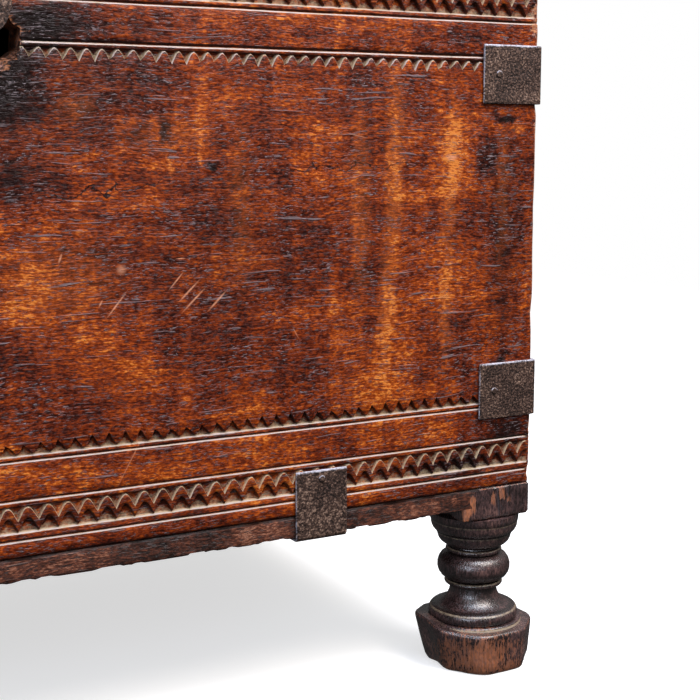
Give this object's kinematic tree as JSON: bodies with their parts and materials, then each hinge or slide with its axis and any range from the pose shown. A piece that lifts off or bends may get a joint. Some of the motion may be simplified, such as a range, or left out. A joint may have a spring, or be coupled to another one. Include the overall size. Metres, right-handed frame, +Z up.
{
  "type": "wooden donation box",
  "caption": "Boarded hardwood donation chest on turned legs, with carved bands, iron corner straps, a hinged lid with a coin slot, and a hanging hasp.",
  "frame": {"origin": "on the floor under the middle of the chest, at the middle of the bounding box's base", "axes": "+X to the right along the front, +Y from the carved front to the back, +Z up"},
  "size_m": [0.786, 0.4664, 0.5033],
  "materials": {
    "carved_hardwood": "old polished reddish brown hardwood, worn and stained",
    "dark_hardwood": "dark, greasy, scuffed hardwood of rails and turned legs",
    "bare_wood": "unfinished aged wood of the bottom and battens",
    "forged_iron": "hand-forged iron straps with brown rust"
  },
  "bodies": {
    "chest": {"front_board": "carved_hardwood", "back_board": "bare_wood", "left_side_board": "carved_hardwood", "right_side_board": "carved_hardwood", "front_bottom_plank": "bare_wood", "middle_bottom_plank": "bare_wood", "back_bottom_plank": "bare_wood", "bottom_plank_nails": "forged_iron", "front_rail": "dark_hardwood", "back_rail": "dark_hardwood", "left_rail": "dark_hardwood", "right_rail": "dark_hardwood", "front_left_leg": "dark_hardwood", "front_right_leg": "dark_hardwood", "back_left_leg": "dark_hardwood", "back_right_leg": "dark_hardwood", "front_left_upper_strap": "forged_iron", "front_right_upper_strap": "forged_iron", "back_left_upper_strap": "forged_iron", "back_right_upper_strap": "forged_iron", "front_left_lower_strap": "forged_iron", "front_right_lower_strap": "forged_iron", "back_left_lower_strap": "forged_iron", "back_right_lower_strap": "forged_iron", "front_left_base_strap": "forged_iron", "front_right_base_strap": "forged_iron", "back_left_base_strap": "forged_iron", "back_right_base_strap": "forged_iron", "corner_strap_nails": "forged_iron", "base_strap_nails": "forged_iron", "left_hinge_leaf": "forged_iron", "right_hinge_leaf": "forged_iron", "hinge_leaf_nails": "forged_iron", "left_hinge_pin": "forged_iron", "right_hinge_pin": "forged_iron"},
    "lid": {"lid_front_plank": "carved_hardwood", "lid_middle_plank": "carved_hardwood", "lid_back_plank": "carved_hardwood", "left_lid_batten": "bare_wood", "right_lid_batten": "bare_wood", "batten_nails": "forged_iron", "left_hinge_strap": "forged_iron", "right_hinge_strap": "forged_iron", "hinge_strap_nails": "forged_iron", "coin_slot_plate": "forged_iron", "coin_slot_nails": "forged_iron", "hasp_leaf": "forged_iron", "hasp_leaf_nails": "forged_iron", "hasp_pin": "forged_iron"},
    "hasp": {"hasp": "forged_iron"}
  },
  "joints": [
    {"name": "lid_hinge", "type": "hinge", "parent": "chest", "child": "lid", "pos_m": [0, 0.2256, 0.48], "axis": [-1, 0, 0], "range_deg": [0, 105]},
    {"name": "hasp_hinge", "type": "hinge", "parent": "lid", "child": "hasp", "pos_m": [0, -0.2287, 0.498], "axis": [-1, 0, 0], "range_deg": [0, 195]}
  ]
}
